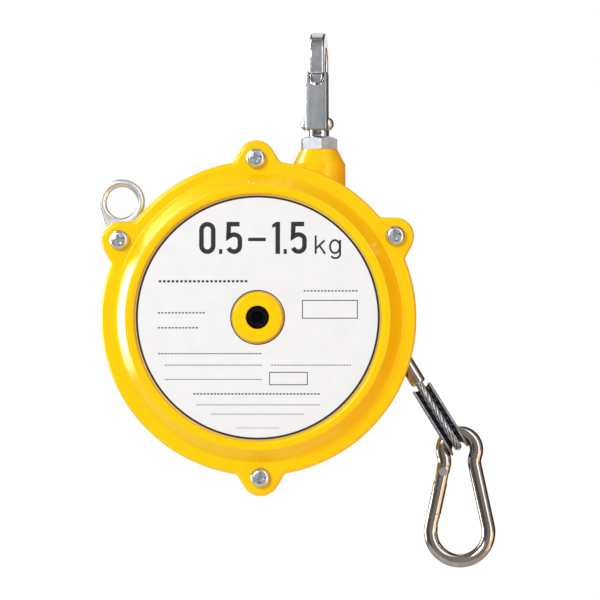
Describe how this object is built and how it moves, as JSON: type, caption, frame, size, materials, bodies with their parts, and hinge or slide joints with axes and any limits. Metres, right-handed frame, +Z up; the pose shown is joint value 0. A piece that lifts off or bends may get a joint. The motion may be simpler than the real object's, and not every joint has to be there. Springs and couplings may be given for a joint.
{
  "type": "tool balancer",
  "caption": "Spring balancer for hand tools: round yellow case with swivel top hook, safety eye, spring-driven rope drum, wire rope end and snap hook.",
  "frame": {"origin": "bearing point of the top hook, inside the top of its bowl, on the swivel axis", "axes": "+Z up along the swivel axis, +X to the side where the rope leaves, front of the case towards -Y"},
  "size_m": [0.14, 0.04, 0.1899],
  "materials": {
    "yellow_enamel": "gloss",
    "face_plate": "satin",
    "zinc_steel": "bright zinc plated",
    "polished_stainless": "polished",
    "black_steel": "black oxide",
    "hardened_steel": "ground",
    "cast_aluminium": "as cast",
    "bronze": "sintered",
    "spring_steel": "blued",
    "wire_rope": "stranded stainless",
    "guide_nylon": "satin"
  },
  "bodies": {
    "top_hook": {"hook_body": "polished_stainless", "latch_rivet": "zinc_steel", "latch_spring": "spring_steel", "collar_nut": "zinc_steel", "swivel_washer": "zinc_steel", "swivel_lock_nut": "zinc_steel"},
    "hook_latch": {"hook_latch": "zinc_steel"},
    "case": {"front_cover": "yellow_enamel", "nameplate": "face_plate", "rear_housing": "yellow_enamel", "cover_screws": "zinc_steel", "safety_eye": "zinc_steel", "rope_guide_bush": "guide_nylon", "pawl_pin": "hardened_steel", "pawl_spring": "spring_steel", "front_thrust_washer": "hardened_steel", "rear_thrust_washer": "hardened_steel"},
    "adjuster": {"adjuster_shaft": "black_steel", "ratchet_wheel": "hardened_steel", "ratchet_pin": "hardened_steel"},
    "pawl": {"pawl": "hardened_steel"},
    "drum": {"drum": "cast_aluminium", "drum_cover": "cast_aluminium", "drum_cover_screws": "zinc_steel", "drum_front_bush": "bronze", "drum_rear_bush": "bronze", "mainspring": "spring_steel", "rope_winding": "wire_rope", "rope_stop": "wire_rope"},
    "rope_end": {"rope_run": "wire_rope", "rope_ferrule": "cast_aluminium", "rope_eye": "wire_rope", "rope_thimble": "polished_stainless"},
    "snap_hook": {"snap_hook_body": "polished_stainless", "gate_rivet": "polished_stainless", "gate_spring": "spring_steel"},
    "snap_gate": {"snap_hook_gate": "polished_stainless", "gate_lock_pin": "polished_stainless"}
  },
  "joints": [
    {"name": "latch_hinge", "type": "hinge", "parent": "top_hook", "child": "hook_latch", "pos_m": [-0.00049, -0.00698, -0.0278], "axis": [-0.9976, 0.0698, 0], "range_deg": [0, 35], "stiffness_Nm_per_rad": 0.02, "springref_deg": -28.65, "deforming": ["latch_spring"]},
    {"name": "case_swivel", "type": "hinge", "parent": "top_hook", "child": "case", "pos_m": [0, 0, -0.0318], "axis": [0, 0, 1], "continuous": true},
    {"name": "rope_pull", "type": "slide", "parent": "case", "child": "rope_end", "axis": [0.5225, 0, -0.8526], "range_m": [0, 1], "stiffness_N_per_m": 5, "springref_m": -1.5, "deforming": ["rope_run"]},
    {"name": "drum_spin", "type": "hinge", "parent": "case", "child": "drum", "pos_m": [-0.02095, 0, -0.09648], "axis": [0, 1, 0], "range_deg": [0, 1600], "deforming": ["mainspring"]},
    {"name": "snap_hook_swing", "type": "hinge", "parent": "rope_end", "child": "snap_hook", "pos_m": [0.04966, -0.0035, -0.14281], "axis": [0, 1, 0], "range_deg": [-25, 25]},
    {"name": "gate_hinge", "type": "hinge", "parent": "snap_hook", "child": "snap_gate", "pos_m": [0.04378, -0.0035, -0.15059], "axis": [0, -1, 0], "range_deg": [0, 25], "stiffness_Nm_per_rad": 0.01, "springref_deg": -28.65, "deforming": ["gate_spring"]},
    {"name": "tension_adjust", "type": "hinge", "parent": "case", "child": "adjuster", "pos_m": [-0.02095, 0, -0.09648], "axis": [0, -1, 0], "range_deg": [0, 24], "stiffness_Nm_per_rad": 0.02, "springref_deg": -57.3},
    {"name": "pawl_lift", "type": "hinge", "parent": "case", "child": "pawl", "pos_m": [-0.00895, -0.0115, -0.08098], "axis": [0, 1, 0], "range_deg": [0, 10], "deforming": ["pawl_spring"]}
  ],
  "couplings": [
    {"joint": "drum_spin", "follows": "rope_pull", "rad_per_m": 27.778},
    {"joint": "pawl_lift", "follows": "tension_adjust", "ratio": 0.38}
  ]
}
